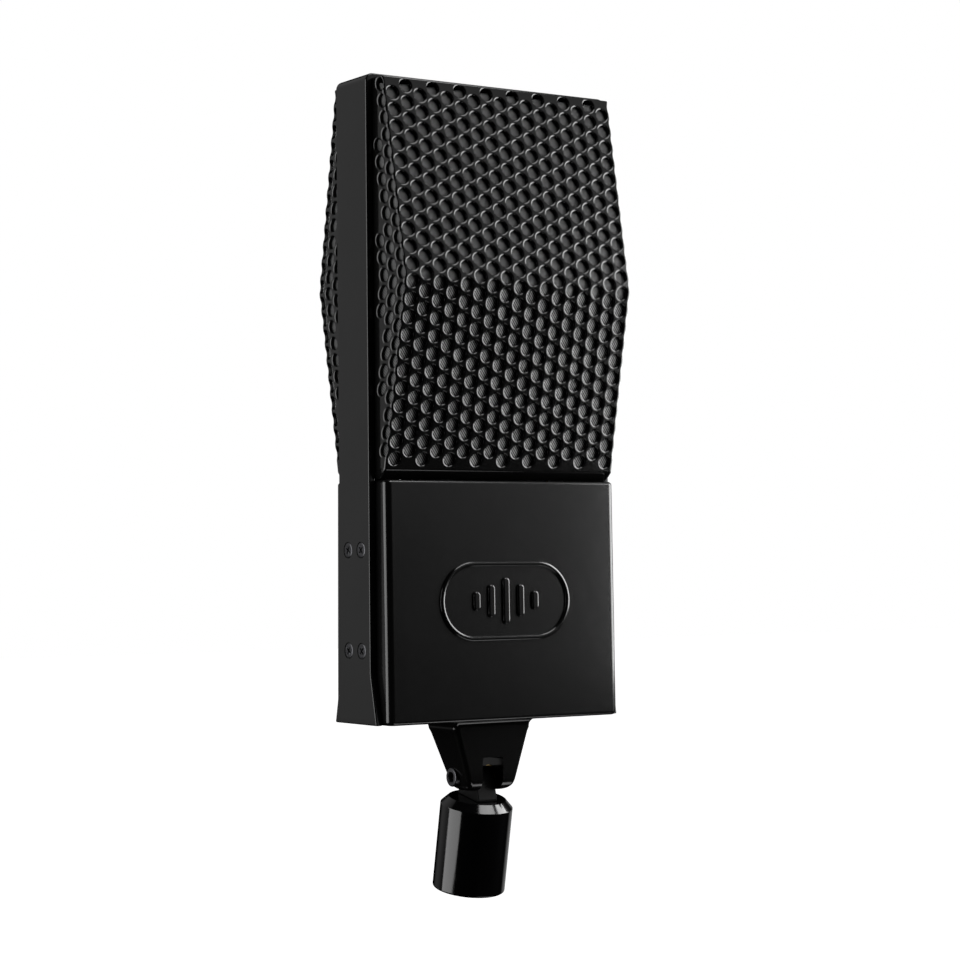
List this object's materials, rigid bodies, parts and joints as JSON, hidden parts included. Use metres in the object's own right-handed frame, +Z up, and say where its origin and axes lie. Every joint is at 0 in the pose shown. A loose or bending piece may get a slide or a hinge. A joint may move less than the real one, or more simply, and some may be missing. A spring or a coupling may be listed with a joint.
{
  "type": "ribbon microphone",
  "caption": "Two-sided ribbon microphone: flat metal band, ridged perforated grilles, box covers below, and a tilting stem with a threaded stand collar.",
  "frame": {"origin": "centre of the stand thread's mouth, at the lower end of the stem", "axes": "+Z up along the upright head, -Y towards the front cover with the raised badge, X across the width; the stem leans 11 degrees from +Z"},
  "size_m": [0.106, 0.0616, 0.2998],
  "materials": {
    "black_paint": "gloss black paint over metal",
    "black_gloss": "polished black plating on turned metal",
    "black_screw": "black oxide screws",
    "mesh_cloth": "fine woven wire cloth, blackened",
    "dark_metal": "dark plated sheet steel",
    "steel": "zinc plated steel",
    "magnet": "nickel plated magnet",
    "aluminium": "milled aluminium",
    "foil": "corrugated foil",
    "brass": "turned brass",
    "black_plastic": "matte moulded plastic",
    "board": "glass fibre board with green resist",
    "winding": "enamelled copper wire",
    "rubber": "soft black rubber"
  },
  "bodies": {
    "stem": {"swivel_tongue": "black_gloss", "stand_collar": "black_gloss", "thread_bush": "brass", "collar_screw": "steel"},
    "head": {"chassis_band": "black_paint", "base_bracket": "dark_metal", "deck_bracket": "dark_metal", "cover_front": "black_paint", "cover_rear": "black_paint", "grille_front": "black_paint", "grille_rear": "black_paint", "screen_front": "mesh_cloth", "screen_rear": "mesh_cloth", "grille_rails": "dark_metal", "band_screws_left": "black_screw", "band_screws_right": "black_screw", "clinch_nuts": "steel", "mount_lug": "black_paint", "lug_screws": "steel", "pivot_screw": "black_screw", "friction_washers": "brass", "pole_piece_left": "steel", "pole_piece_right": "steel", "magnets_left": "magnet", "magnets_right": "magnet", "yoke_left": "steel", "yoke_right": "steel", "motor_block_top": "aluminium", "motor_block_bottom": "aluminium", "motor_screws": "steel", "ribbon": "foil", "clamp_insulators": "black_plastic", "ribbon_clamps": "brass", "clamp_screws": "steel", "motor_hanger": "dark_metal", "motor_foot": "dark_metal", "motor_isolators": "rubber", "ribbon_leads": "winding", "chassis_plate": "aluminium", "plate_screws": "steel", "transformer_can": "steel", "transformer_lid": "steel", "transformer_core": "winding", "transformer_bolt": "steel", "preamp_board": "board", "board_parts": "black_plastic", "board_standoffs": "brass", "board_screws": "steel", "xlr_shell": "dark_metal", "xlr_insert": "black_plastic", "xlr_pins": "steel", "xlr_screws": "steel", "signal_leads": "winding", "switch_body": "steel", "switch_screws": "steel"},
    "switch": {"switch_slider": "black_plastic"}
  },
  "joints": [
    {"name": "head_tilt", "type": "hinge", "parent": "stem", "child": "head", "pos_m": [0, -0.0082, 0.04221], "axis": [1, 0, 0], "range_deg": [-64, 56]},
    {"name": "switch_slide", "type": "slide", "parent": "head", "child": "switch", "axis": [1, 0, 0], "range_m": [0, 0.003]}
  ]
}
